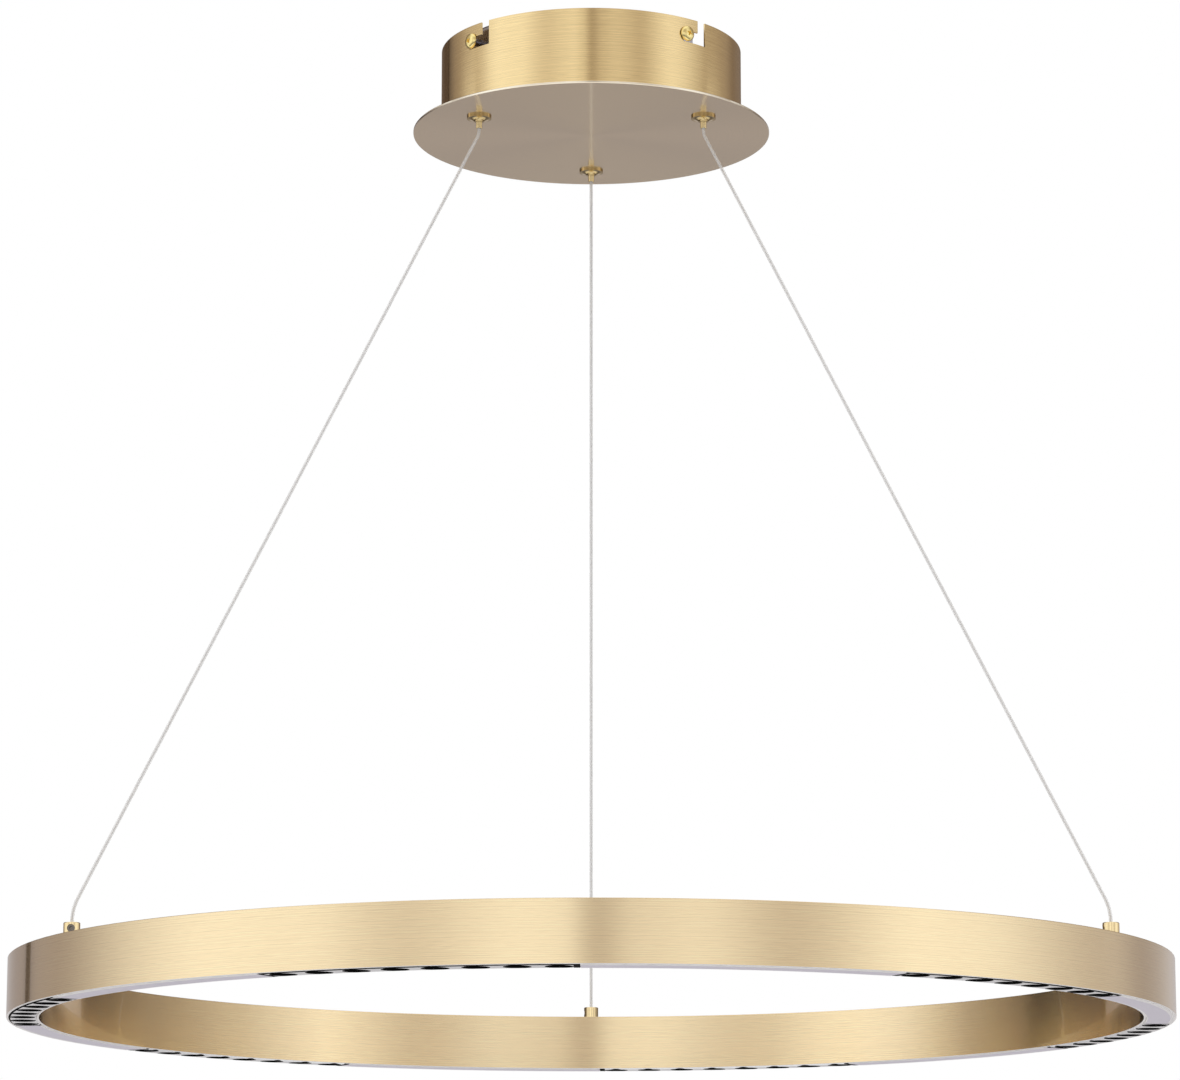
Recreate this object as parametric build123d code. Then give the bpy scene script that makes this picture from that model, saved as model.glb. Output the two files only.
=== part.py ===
from build123d import *
import math
import os

# LED ring chandelier, in millimetres, +Z up.
# The origin is on the vertical axis, in the plane of the ceiling: all of it hangs below z = 0.
# The near side is -Y.  Angles are in degrees, counter-clockwise seen from above, from +X.

# ---- Ceiling bracket: a stamped steel cross with four bent-down tabs ----
bracket_thickness = 2.0
bracket_arm_width = 22.0
bracket_bend_radius = 2.0          # inside of the bend
bracket_tab_drop = 19.0            # from the ceiling to the end of a tab
bracket_corner_radius = 3.0
tab_to_wall_gap = 5.5              # between a tab and the inside of the drum
ceiling_hole_circle = 120.0
ceiling_hole_diameter = 5.5
earth_screw_offset = 30.0          # from the axis, along the first arm
earth_screw_diameter = 4.0
earth_screw_head_diameter = 8.0
earth_screw_head_height = 2.4
earth_screw_clearance = 0.05

# ---- Canopy: drum with bayonet slots, and the plate below it ----
drum_diameter = 215.0
drum_wall = 1.2
drum_height = 59.0
drum_lip_width = 5.0               # the inward flange that sits on the plate
drum_ceiling_gap = 0.5
plate_diameter = 255.0
plate_thickness = 1.5
plate_edge_chamfer = 0.3

# ---- Canopy screws and the slots that hook over them ----
screw_count = 4
first_screw_angle = 38.5
screw_shank_diameter = 5.0
screw_reach = 4.0                  # of a shank inward of its tab
screw_head_diameter = 11.0
screw_head_height = 3.0
screw_head_round = 1.3
screw_hole_clearance = 0.05
screw_head_gap = 0.4               # between a head and the drum's outside
slot_leg_clearance = 3.4           # leg height beyond the shank
slot_mouth_clearance = 2.5         # mouth width beyond the shank
slot_mouth_offset = 14.2           # along the wall, from the screw to the mouth's middle
slot_roof_depth = 8.8              # from the drum's rim to the leg's upper edge
slot_end_gap = 0.3                 # between the shank and the leg's closed end
hang_clearance = 0.1               # between the leg's upper edge and the shank

# ---- Suspension cables ----
cable_count = 3
first_cable_angle = 90.0
cable_diameter = 2.4
ring_drop = 596.0                  # from the plate's underside to the top of the ring
cable_top_run = 4.0                # straight out of the nose; the cable leaves it at a sharp angle
cable_foot_run = 4.5               # straight up out of the post
cable_bend_run = 8.5               # between the two gentle bends above the post
cable_tail_rise = 2.4
cable_tail_bend_radius = 12.0

# ---- Cable grippers, three on a circle under the plate ----
gripper_lip_gap = 1.7              # between a fixing nut's corner and the drum's lip
gripper_flange_diameter = 17.4
gripper_flange_thickness = 1.5
gripper_cone_height = 2.1
gripper_cone_wall = 1.14           # at the cone's lower end
gripper_cone_hollow = 0.45         # how far the cone's side curves in
gripper_stem_wall = 1.3
gripper_stem_height = 13.5         # above the plate's underside
gripper_stem_clearance = 0.1       # radial, in the plate's hole
gripper_floor_thickness = 1.6      # of the body below its bore
plunger_wall = 0.7
plunger_cable_gap = 0.3            # radial, around the cable
plunger_clearance = 0.06           # radial, in the body's floor
plunger_projection = 4.8           # of the nose below the cone
plunger_collar_height = 3.0
plunger_collar_clearance = 0.1     # radial, in the body's bore
plunger_guide_height = 3.0         # above the collar, inside the spring
spring_wall = 0.9
spring_gap = 0.3                   # radial, inside and outside the spring
cap_thickness = 2.0
cap_spigot_height = 2.0
cap_spigot_clearance = 0.05
cap_hole_clearance = 0.1
gripper_nut_across_flats = 14.0
gripper_nut_height = 4.0

# ---- Driver and wiring in the canopy ----
driver_length = 120.0
driver_width = 44.0
driver_height = 20.0               # with its lid
driver_centre_y = 10.0
driver_wall = 1.6
driver_corner_radius = 3.0
driver_ear_size = 9.0
driver_ear_thickness = 2.0
stud_diameter = 3.0
stud_height = 7.0
stud_clearance = 0.15
stud_nut_across_flats = 5.5
stud_nut_height = 2.4
circuit_gap = 4.0                  # under the circuit board
circuit_thickness = 1.6
circuit_margin = 3.0               # around the circuit board
transformer_length = 22.0
transformer_width = 20.0
transformer_height = 9.0
capacitor_diameter = 8.0
capacitor_height = 9.0
terminal_length = 30.0
terminal_width = 18.0
terminal_height = 14.0
terminal_gap = 28.0                # between the terminal block and the driver
terminal_screw_pitch = 9.0
terminal_screw_diameter = 3.4
terminal_screw_clearance = 0.05
terminal_screw_height = 4.0
terminal_screw_recess = 1.0
connector_length = 14.0
connector_width = 12.0
connector_height = 13.0
connector_corner_radius = 1.0
lead_diameter = 2.0
lead_height = 5.0                  # above the plate
lead_jog = 5.0                     # sideways step of a lead
lead_spacing = 7.0                 # between the supply leads
lead_run = 15.0                    # of an output lead before its bend

# ---- Ring: a rolled channel, open downwards ----
ring_diameter = 800.0
ring_width = 22.0
ring_height = 40.0
ring_wall = 1.5
ring_edge_round = 0.4
ring_rib_depth = 1.6
ring_rib_thickness = 1.2
insert_height = 12.0               # from the channel's lower edge to the underside of its ribs
insert_clearance = 0.15
insert_projection = 0.5            # of an insert's face below the lower edge
insert_count = 6                   # of louvres, and as many diffusers between them
first_louvre_angle = -1.0
insert_end_gap = 0.3
diffuser_face_thickness = 2.0
diffuser_leg_thickness = 1.4
louvre_groove_width = 1.2          # shadow gap along the outer edge
louvre_groove_depth = 6.0
louvre_bevel_width = 1.4           # along the inner edge
louvre_bevel_height = 0.8
louvre_cup_count = 8
louvre_cup_margin = 0.4            # between a cup's mouth and the shadow gap
louvre_cup_taper = 4.75            # radial, from a cup's mouth to its top
led_strip_thickness = 1.2
led_size = 3.5
led_height = 0.8

# ---- Cable posts on the ring ----
post_diameter = 11.0
post_height = 8.0
post_chamfer = 0.4
post_stud_diameter = 6.0
post_stud_length = 7.0             # below the underside of the ring's top wall
post_bore_clearance = 0.1          # radial, around the cable
post_hole_clearance = 0.05
post_nut_across_flats = 10.0
post_nut_height = 3.0
set_screw_diameter = 5.0
set_screw_clearance = 0.05
set_screw_recess = 1.5             # of its end below the post's side
set_screw_socket_size = 2.5
set_screw_socket_depth = 1.8
set_screw_directions = (188.0, 270.0, 188.0)   # which way each post's set screw faces

# ---- Levels and radii that follow ----
drum_radius = drum_diameter / 2
drum_inner_radius = drum_radius - drum_wall
drum_lip_radius = drum_inner_radius - drum_lip_width
drum_top = -drum_ceiling_gap
plate_top = drum_top - drum_height
plate_bottom = plate_top - plate_thickness
tab_radius = drum_inner_radius - tab_to_wall_gap
shank_radius = screw_shank_diameter / 2
slot_roof = drum_top - slot_roof_depth
slot_floor = slot_roof - screw_shank_diameter - slot_leg_clearance
screw_level = slot_roof - hang_clearance - shank_radius
cable_radius = cable_diameter / 2
nose_bore = cable_radius + plunger_cable_gap
nose_radius = nose_bore + plunger_wall
gripper_bore = nose_radius + spring_gap + spring_wall + spring_gap
stem_radius = gripper_bore + gripper_stem_wall
gripper_radius = drum_lip_radius - gripper_lip_gap - gripper_nut_across_flats / math.sqrt(3)
cone_bottom = plate_bottom - gripper_flange_thickness - gripper_cone_height
nose_bottom = cone_bottom - plunger_projection
floor_top = cone_bottom + gripper_floor_thickness
collar_top = floor_top + plunger_collar_height
cap_bottom = plate_bottom + gripper_stem_height
cap_top = cap_bottom + cap_thickness
spigot_bottom = cap_bottom - cap_spigot_height
connector_radius = gripper_radius - 2 * cable_tail_bend_radius
connector_top = plate_top + connector_height
ring_top = plate_bottom - ring_drop
ring_roof = ring_top - ring_wall
ring_bottom = ring_top - ring_height
ring_radius = ring_diameter / 2
ring_inner_radius = ring_radius - ring_width
ring_middle_radius = ring_radius - ring_width / 2
post_top = ring_top + post_height
rib_bottom = ring_bottom + insert_height
rib_top = rib_bottom + ring_rib_thickness
strip_top = rib_top + led_strip_thickness
insert_inner_radius = ring_inner_radius + ring_wall + insert_clearance
insert_outer_radius = ring_radius - ring_wall - insert_clearance
insert_face = ring_bottom - insert_projection
groove_radius = insert_outer_radius - louvre_groove_width
insert_angle = 180.0 / insert_count
end_gap_angle = math.degrees(insert_end_gap / ring_middle_radius)
cup_pitch = insert_angle / louvre_cup_count
cable_angles = [first_cable_angle + 360.0 * k / cable_count for k in range(cable_count)]
screw_angles = [first_screw_angle + 360.0 * k / screw_count for k in range(screw_count)]
BOTTOM = (Align.CENTER, Align.CENTER, Align.MIN)

nodes = {}


def section(points):
    """A closed outline in the plane of X and Z."""
    return Plane.XZ * make_face(Polyline(points, close=True))


def turned(points, arc=360.0):
    """The outline turned about the vertical axis, counter-clockwise from +X."""
    return revolve(section(points), Axis.Z, arc)


def disc(radius, low, high):
    return Pos(0, 0, low) * Cylinder(radius, high - low, align=BOTTOM)


def block(length, width, low, height, x=0.0, y=0.0):
    return Pos(x, y, low) * Box(length, width, height, align=BOTTOM)


def hexagon_nut(across_flats, bore_radius, low, height):
    outline = Pos(0, 0, low) * RegularPolygon(across_flats / 2, 6, major_radius=False)
    return extrude(outline, height) - disc(bore_radius, low - 1, low + height + 1)


def at_angle(piece, angle, radius=0.0, level=0.0):
    """The piece carried out along +X, then round to an angle."""
    return Rot(0, 0, angle) * Pos(radius, 0, level) * piece


def pointing_out(piece, angle, radius, level):
    """The piece with its own +Z laid outwards."""
    return at_angle(Rot(0, 90, 0) * piece, angle, radius, level)


def tube(name, path, diameter):
    """A round cable or lead along a path, with a check of its volume."""
    start = Plane(origin=path @ 0, z_dir=path % 0)
    body = sweep(start * Circle(diameter / 2), path)
    wanted = math.pi * diameter ** 2 / 4 * path.length
    print(name, "length", round(path.length, 2), "volume over section x length",
          round(body.volume / wanted, 5))
    return body


def rounded_path(name, points):
    """Straight runs joined by tangent arcs.

    Each arc is as large as its runs allow: 0.45 of the shorter, over the tangent of half the turn.
    """
    runs = [Vector(*b) - Vector(*a) for a, b in zip(points, points[1:])]
    radii = []
    for before, after in zip(runs, runs[1:]):
        half_turn = math.radians(before.get_angle(after) / 2)
        radii.append(0.45 * min(before.length, after.length) / math.tan(half_turn))
    print(name, "radii", [round(r, 1) for r in radii])
    return FilletPolyline(*points, radius=radii)


# ==== Ceiling bracket ====
def ceiling_bracket():
    """Four arms from one centre, each bent down at its end and bored for a canopy screw."""
    thick = bracket_thickness
    outline = [(0, 0), (tab_radius, 0), (tab_radius, -bracket_tab_drop),
               (tab_radius - thick, -bracket_tab_drop), (tab_radius - thick, -thick), (0, -thick)]
    arm = Pos(0, bracket_arm_width / 2, 0) * extrude(section(outline), bracket_arm_width)
    across = arm.edges().filter_by(Axis.Y)
    outer_bend = [e for e in across if e.center().X > tab_radius - 0.01 and e.center().Z > -0.01]
    arm = fillet(outer_bend, bracket_bend_radius + thick)
    across = arm.edges().filter_by(Axis.Y)
    inner_bend = [e for e in across if abs(e.center().X - tab_radius + thick) < 0.01
                  and abs(e.center().Z + thick) < 0.01]
    arm = fillet(inner_bend, bracket_bend_radius)
    arm = fillet(arm.edges().filter_by(Axis.X).group_by(Axis.Z)[0], bracket_corner_radius)
    screw_hole = Cylinder(shank_radius + screw_hole_clearance, 4 * thick)
    arm -= pointing_out(screw_hole, 0, tab_radius - thick / 2, screw_level)
    arm -= Pos(ceiling_hole_circle / 2, 0, 0) * Cylinder(ceiling_hole_diameter / 2, 4 * thick)
    cross = at_angle(arm, screw_angles[0])
    for angle in screw_angles[1:]:
        cross += at_angle(arm, angle)
    earth_hole = Cylinder(earth_screw_diameter / 2 + earth_screw_clearance, 4 * thick)
    return cross - at_angle(earth_hole, screw_angles[0], earth_screw_offset)


def canopy_screw():
    """A pan head on a plain shank; its own +Z points out of the drum."""
    head = disc(screw_head_diameter / 2, 0, screw_head_height)
    head = fillet(head.edges().sort_by(Axis.Z)[-1], screw_head_round)
    inward = drum_radius + screw_head_gap - tab_radius + bracket_thickness + screw_reach
    return head + disc(shank_radius, -inward, 0)


def earth_screw():
    head_bottom = -bracket_thickness - earth_screw_head_height
    screw = disc(earth_screw_head_diameter / 2, head_bottom, -bracket_thickness)
    return screw + disc(earth_screw_diameter / 2, -bracket_thickness, -bracket_thickness / 4)


nodes["ceiling_bracket"] = ceiling_bracket()
nodes["canopy_screws"] = [pointing_out(canopy_screw(), angle, drum_radius + screw_head_gap, screw_level)
                          for angle in screw_angles]
nodes["earth_screw"] = at_angle(earth_screw(), screw_angles[0], earth_screw_offset)


# ==== Canopy ====
def canopy_drum():
    """A rolled wall with an inward lip, and an L-shaped bayonet slot by each screw."""
    outline = [(drum_radius, plate_top), (drum_radius, drum_top), (drum_inner_radius, drum_top),
               (drum_inner_radius, plate_top + drum_wall), (drum_lip_radius, plate_top + drum_wall),
               (drum_lip_radius, plate_top)]
    drum = turned(outline)
    inside = drum_inner_radius - drum_wall
    outside = drum_radius + drum_wall
    half_mouth = math.degrees((shank_radius + slot_mouth_clearance / 2) / drum_radius)
    mouth_middle = math.degrees(slot_mouth_offset / drum_radius)
    leg_end = math.degrees((shank_radius + slot_end_gap) / drum_radius)
    mouth = turned([(inside, slot_floor), (outside, slot_floor), (outside, drum_top + 1),
                    (inside, drum_top + 1)], 2 * half_mouth)
    leg = turned([(inside, slot_floor), (outside, slot_floor), (outside, slot_roof),
                  (inside, slot_roof)], mouth_middle + leg_end)
    for angle in screw_angles:
        drum -= Rot(0, 0, angle + mouth_middle - half_mouth) * mouth
        drum -= Rot(0, 0, angle - leg_end) * leg
    return drum


stud_offset = driver_length / 2 + driver_ear_size / 2


def canopy_plate():
    """The wide disc, with the gripper holes and two welded studs for the driver."""
    plate = disc(plate_diameter / 2, plate_bottom, plate_top)
    plate = chamfer(plate.edges(), plate_edge_chamfer)
    hole = disc(stem_radius + gripper_stem_clearance, plate_bottom - 1, plate_top + 1)
    for angle in cable_angles:
        plate -= at_angle(hole, angle, gripper_radius)
    for side in (-1, 1):
        stud = disc(stud_diameter / 2, plate_top, plate_top + stud_height)
        plate += Pos(side * stud_offset, driver_centre_y, 0) * stud
    return plate


nodes["canopy_drum"] = canopy_drum()
nodes["canopy_plate"] = canopy_plate()

# ==== Driver ====
case_height = driver_height - driver_wall
case_top = plate_top + case_height
ear_top = plate_top + driver_ear_thickness
driver_near = driver_centre_y - driver_width / 2
driver_far = driver_centre_y + driver_width / 2


def driver_case():
    """An open tray with an ear at each end."""
    case = block(driver_length, driver_width, plate_top, case_height)
    case = fillet(case.edges().filter_by(Axis.Z), driver_corner_radius)
    case -= block(driver_length - 2 * driver_wall, driver_width - 2 * driver_wall,
                  plate_top + driver_wall, case_height)
    stud_hole = disc(stud_diameter / 2 + stud_clearance, plate_top - 1, ear_top + 1)
    for side in (-1, 1):
        case += block(driver_ear_size + driver_wall, driver_ear_size, plate_top, driver_ear_thickness,
                      x=side * (stud_offset - driver_wall / 2))
        case -= Pos(side * stud_offset, 0, 0) * stud_hole
    return Pos(0, driver_centre_y, 0) * case


def driver_lid():
    lid = block(driver_length, driver_width, case_top, driver_wall)
    lid = fillet(lid.edges().filter_by(Axis.Z), driver_corner_radius)
    return Pos(0, driver_centre_y, 0) * lid


def driver_circuit():
    """The circuit board on four stand-offs, with its transformer and capacitors."""
    low = plate_top + driver_wall + circuit_gap
    high = low + circuit_thickness
    length = driver_length - 2 * driver_wall - 2 * circuit_margin
    width = driver_width - 2 * driver_wall - 2 * circuit_margin
    circuit = block(length, width, low, circuit_thickness)
    foot = disc(circuit_margin, low - circuit_gap, low)
    for x in (-1, 1):
        for y in (-1, 1):
            circuit += Pos(x * (length / 2 - circuit_margin), y * (width / 2 - circuit_margin), 0) * foot
    circuit += block(transformer_length, transformer_width, high, transformer_height)
    capacitor = disc(capacitor_diameter / 2, high, high + capacitor_height)
    for side in (-1, 1):
        circuit += Pos(side * length / 3, 0, 0) * capacitor
    return Pos(0, driver_centre_y, 0) * circuit


nodes["driver_case"] = driver_case()
nodes["driver_lid"] = driver_lid()
nodes["driver_circuit"] = driver_circuit()
stud_nut = hexagon_nut(stud_nut_across_flats, stud_diameter / 2 + 0.05, ear_top, stud_nut_height)
nodes["driver_nuts"] = [Pos(side * stud_offset, driver_centre_y, 0) * stud_nut for side in (-1, 1)]

# ==== Terminals and connectors ====
terminal_far = driver_near - terminal_gap
terminal_middle = terminal_far - terminal_width / 2
terminal_top = plate_top + terminal_height
terminal_places = [Pos(k * terminal_screw_pitch, terminal_middle, 0) for k in (-1, 0, 1)]


def terminal_block():
    body = block(terminal_length, terminal_width, plate_top, terminal_height, y=terminal_middle)
    well_bottom = terminal_top - terminal_screw_recess - terminal_screw_height
    well = disc(terminal_screw_diameter / 2 + terminal_screw_clearance, well_bottom, terminal_top + 1)
    for place in terminal_places:
        body -= place * well
    return body


def output_connector():
    """A push-in connector standing on the plate, below the end of a cable tail."""
    body = block(connector_width, connector_length, plate_top, connector_height)
    return fillet(body.edges().filter_by(Axis.Z), connector_corner_radius)


terminal_screw = disc(terminal_screw_diameter / 2, terminal_top - terminal_screw_recess
                      - terminal_screw_height, terminal_top - terminal_screw_recess)
nodes["terminal_block"] = terminal_block()
nodes["terminal_screws"] = [place * terminal_screw for place in terminal_places]
nodes["output_connectors"] = [at_angle(output_connector(), a, connector_radius) for a in cable_angles]


# ==== Leads ====
def jogged_route(start, finish):
    """Both ends run along Y, with a sideways step between them."""
    x0, y0 = start
    x1, y1 = finish
    level = plate_top + lead_height
    return [(x0, y0, level), (x0, y0 + (y1 - y0) * 0.3, level),
            (x1, y0 + (y1 - y0) * 0.7, level), (x1, y1, level)]


def side_route(angle):
    """Along the connector's own direction towards the axis, then straight to the driver."""
    level = plate_top + lead_height
    across = math.cos(math.radians(angle))
    along = math.sin(math.radians(angle))
    face = connector_radius - connector_width / 2
    bend = face - lead_run
    return [(face * across, face * along, level), (bend * across, bend * along, level),
            (bend * across, driver_near, level)]


supply_leads = []
for side in (-1, 1):
    route = jogged_route((side * lead_spacing / 2, terminal_far),
                         (side * (lead_spacing / 2 + lead_jog), driver_near))
    supply_leads.append(tube("supply lead", rounded_path("supply lead", route), lead_diameter))
nodes["supply_leads"] = supply_leads

output_leads = []
for angle in cable_angles:
    if math.sin(math.radians(angle)) > 0.5:
        route = jogged_route((lead_jog, driver_far), (0, connector_radius - connector_width / 2))
    else:
        route = side_route(angle)
    output_leads.append(tube("output lead", rounded_path("output lead", route), lead_diameter))
nodes["output_leads"] = output_leads


# ==== Grippers ====
def gripper_body():
    """Flange and hollow-sided cone below the plate, stem through it, one bore from the top."""
    flange = gripper_flange_diameter / 2
    flange_bottom = plate_bottom - gripper_flange_thickness
    hole = nose_radius + plunger_clearance
    cone_end = hole + gripper_cone_wall
    middle = ((cone_end + flange) / 2 - gripper_cone_hollow,
              (cone_bottom + flange_bottom) / 2 + gripper_cone_hollow)
    side = ThreePointArc((cone_end, cone_bottom), middle, (flange, flange_bottom))
    rest = Polyline((flange, flange_bottom), (flange, plate_bottom), (stem_radius, plate_bottom),
                    (stem_radius, cap_bottom), (gripper_bore, cap_bottom), (gripper_bore, floor_top),
                    (hole, floor_top), (hole, cone_bottom), (cone_end, cone_bottom))
    return revolve(Plane.XZ * make_face(side + rest), Axis.Z)


def gripper_plunger():
    """The nose below the body, the collar that rests on the body's floor, and the guide."""
    collar = gripper_bore - plunger_collar_clearance
    guide_top = collar_top + plunger_guide_height
    return turned([(nose_bore, nose_bottom), (nose_radius, nose_bottom), (nose_radius, floor_top),
                   (collar, floor_top), (collar, collar_top), (nose_radius, collar_top),
                   (nose_radius, guide_top), (nose_bore, guide_top)])


def gripper_spring():
    """A plain sleeve the size of the coil, between the collar and the cap."""
    inner = nose_radius + spring_gap
    outer = inner + spring_wall
    return disc(outer, collar_top, spigot_bottom) - disc(inner, collar_top - 1, spigot_bottom + 1)


def gripper_cap():
    """A cap with a spigot that the spring bears on."""
    hole = cable_radius + cap_hole_clearance
    spigot = gripper_bore - cap_spigot_clearance
    return turned([(hole, spigot_bottom), (spigot, spigot_bottom), (spigot, cap_bottom),
                   (stem_radius, cap_bottom), (stem_radius, cap_top), (hole, cap_top)])


gripper_nut = hexagon_nut(gripper_nut_across_flats, stem_radius + 0.05, plate_top, gripper_nut_height)
for k, angle in enumerate(cable_angles, start=1):
    nodes[f"gripper_body_{k}"] = at_angle(gripper_body(), angle, gripper_radius)
    nodes[f"gripper_plunger_{k}"] = at_angle(gripper_plunger(), angle, gripper_radius)
    nodes[f"gripper_spring_{k}"] = at_angle(gripper_spring(), angle, gripper_radius)
nodes["gripper_caps"] = [at_angle(gripper_cap(), angle, gripper_radius) for angle in cable_angles]
nodes["gripper_nuts"] = [at_angle(gripper_nut, angle, gripper_radius) for angle in cable_angles]


# ==== Cables ====
def cable_route():
    """From a gripper's nose to the top of its post, in the plane of X and Z."""
    first = (gripper_radius, 0, nose_bottom - cable_top_run)
    last = (ring_middle_radius, 0, post_top + cable_foot_run)
    half_lean = math.atan2(last[0] - first[0], first[2] - last[2]) / 2
    upper = (last[0] - cable_bend_run * math.sin(half_lean), 0,
             last[2] + cable_bend_run * math.cos(half_lean))
    return [(gripper_radius, 0, nose_bottom), first, upper, last, (ring_middle_radius, 0, post_top)]


def cable_tail_path():
    """Up through the gripper, over in a half turn, and down into the connector."""
    level = cap_top + cable_tail_rise
    crown = level + cable_tail_bend_radius
    rise = Line((gripper_radius, 0, nose_bottom), (gripper_radius, 0, level))
    over = ThreePointArc((gripper_radius, 0, level), (gripper_radius - cable_tail_bend_radius, 0, crown),
                         (connector_radius, 0, level))
    fall = Line((connector_radius, 0, level), (connector_radius, 0, connector_top))
    return Wire(rise.edges() + over.edges() + fall.edges())


cable = tube("cable", rounded_path("cable", cable_route()), cable_diameter)
tail = tube("cable tail", cable_tail_path(), cable_diameter)
cable_end = disc(cable_radius, strip_top, post_top)
for k, angle in enumerate(cable_angles, start=1):
    nodes[f"cable_{k}"] = at_angle(cable, angle)
    nodes[f"cable_tail_{k}"] = at_angle(tail, angle)
nodes["cable_ends"] = [at_angle(cable_end, angle, ring_middle_radius) for angle in cable_angles]
print("cable route", [tuple(round(c, 2) for c in p) for p in cable_route()])


# ==== Ring ====
def ring_profile():
    """An inverted U with two ribs inside, and a hole for each post's stud."""
    outer = ring_radius
    inner = ring_inner_radius
    outer_face = outer - ring_wall
    inner_face = inner + ring_wall
    outer_rib = outer_face - ring_rib_depth
    inner_rib = inner_face + ring_rib_depth
    channel = section([(outer, ring_bottom), (outer, ring_top), (inner, ring_top), (inner, ring_bottom),
                       (inner_face, ring_bottom), (inner_face, rib_bottom), (inner_rib, rib_bottom),
                       (inner_rib, rib_top), (inner_face, rib_top), (inner_face, ring_roof),
                       (outer_face, ring_roof), (outer_face, rib_top), (outer_rib, rib_top),
                       (outer_rib, rib_bottom), (outer_face, rib_bottom), (outer_face, ring_bottom)])
    corners = [v for v in channel.vertices() if min(abs(v.X - outer), abs(v.X - inner)) < 0.01]
    ring = revolve(fillet(corners, ring_edge_round), Axis.Z)
    hole = disc(post_stud_diameter / 2 + post_hole_clearance, ring_roof - 1, ring_top + 1)
    for angle in cable_angles:
        ring -= at_angle(hole, angle, ring_middle_radius)
    return ring


def insert_arc(outline, share):
    """An outline turned through a number of insert lengths, less the gap at its ends."""
    return Rot(0, 0, end_gap_angle / 2) * turned(outline, share * insert_angle - end_gap_angle)


def diffuser():
    """A shallow channel, face down, that sits below the ribs."""
    inner = insert_inner_radius
    outer = insert_outer_radius
    leg = diffuser_leg_thickness
    roof = insert_face + diffuser_face_thickness
    return insert_arc([(inner, insert_face), (outer, insert_face), (outer, rib_bottom),
                       (outer - leg, rib_bottom), (outer - leg, roof), (inner + leg, roof),
                       (inner + leg, rib_bottom), (inner, rib_bottom)], 1)


def louvre():
    """A moulding with a row of tapered cups, set in from the outer wall by a shadow gap."""
    inner = insert_inner_radius
    outer = insert_outer_radius
    step = insert_face + louvre_groove_depth
    bevel = insert_face + louvre_bevel_height
    body = insert_arc([(inner + louvre_bevel_width, insert_face), (groove_radius, insert_face),
                       (groove_radius, step), (outer, step), (outer, rib_bottom), (inner, rib_bottom),
                       (inner, bevel)], 1)
    mouth = groove_radius - louvre_cup_margin - ring_middle_radius
    cup = Cone(mouth, mouth - louvre_cup_taper, rib_bottom - insert_face, align=BOTTOM)
    for k in range(louvre_cup_count):
        body -= at_angle(cup, cup_pitch * (k + 0.5), ring_middle_radius, insert_face)
    return body


def led_strip():
    """A board above one louvre and one diffuser, with a light source over every cup's place."""
    strip = insert_arc([(insert_inner_radius, rib_top), (insert_outer_radius, rib_top),
                        (insert_outer_radius, strip_top), (insert_inner_radius, strip_top)], 2)
    led = block(led_size, led_size, rib_top - led_height, led_height)
    for k in range(2 * louvre_cup_count):
        strip += at_angle(led, cup_pitch * (k + 0.5), ring_middle_radius)
    return strip


nodes["ring_profile"] = ring_profile()
for k in range(insert_count):
    start = first_louvre_angle + 2 * insert_angle * k
    nodes[f"louvre_{k + 1}"] = Rot(0, 0, start) * louvre()
    nodes[f"diffuser_{k + 1}"] = Rot(0, 0, start + insert_angle) * diffuser()
    nodes[f"led_strip_{k + 1}"] = Rot(0, 0, start) * led_strip()


# ==== Cable posts ====
def cable_post(direction):
    """A turned brass post with a hollow stud and a tapped side hole."""
    radius = post_diameter / 2
    stud_end = ring_roof - post_stud_length
    post = disc(radius, ring_top, post_top)
    post = chamfer(post.edges().sort_by(Axis.Z)[-1], post_chamfer)
    post += disc(post_stud_diameter / 2, stud_end, ring_top)
    post -= disc(cable_radius + post_bore_clearance, stud_end - 1, post_top + 1)
    side = Cylinder(set_screw_diameter / 2 + set_screw_clearance, radius + 1, align=BOTTOM)
    return post - pointing_out(side, direction, 0, post_top - post_height / 2)


def set_screw(direction):
    """A socket screw whose tip is at the cable."""
    tip = cable_radius + set_screw_clearance
    end = post_diameter / 2 - set_screw_recess
    screw = disc(set_screw_diameter / 2, tip, end)
    socket = Pos(0, 0, end) * RegularPolygon(set_screw_socket_size / 2, 6, major_radius=False)
    screw -= extrude(socket, -set_screw_socket_depth)
    return pointing_out(screw, direction, 0, post_top - post_height / 2)


set_screws = []
for k, angle in enumerate(cable_angles):
    direction = set_screw_directions[k % len(set_screw_directions)] - angle
    nodes[f"cable_post_{k + 1}"] = at_angle(cable_post(direction), angle, ring_middle_radius)
    set_screws.append(at_angle(set_screw(direction), angle, ring_middle_radius))
nodes["set_screws"] = set_screws
post_nut = hexagon_nut(post_nut_across_flats, post_stud_diameter / 2 + 0.05,
                       ring_roof - post_nut_height, post_nut_height)
nodes["post_nuts"] = [at_angle(post_nut, angle, ring_middle_radius) for angle in cable_angles]

# ==== Write each node ====
os.makedirs("parts", exist_ok=True)
for name, piece in nodes.items():
    shape = Compound(piece) if isinstance(piece, list) else piece
    export_step(shape, f"parts/{name}.step")
print(len(nodes), "nodes")
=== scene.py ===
import math

import bmesh
import bpy
from mathutils import Matrix, Vector


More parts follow.
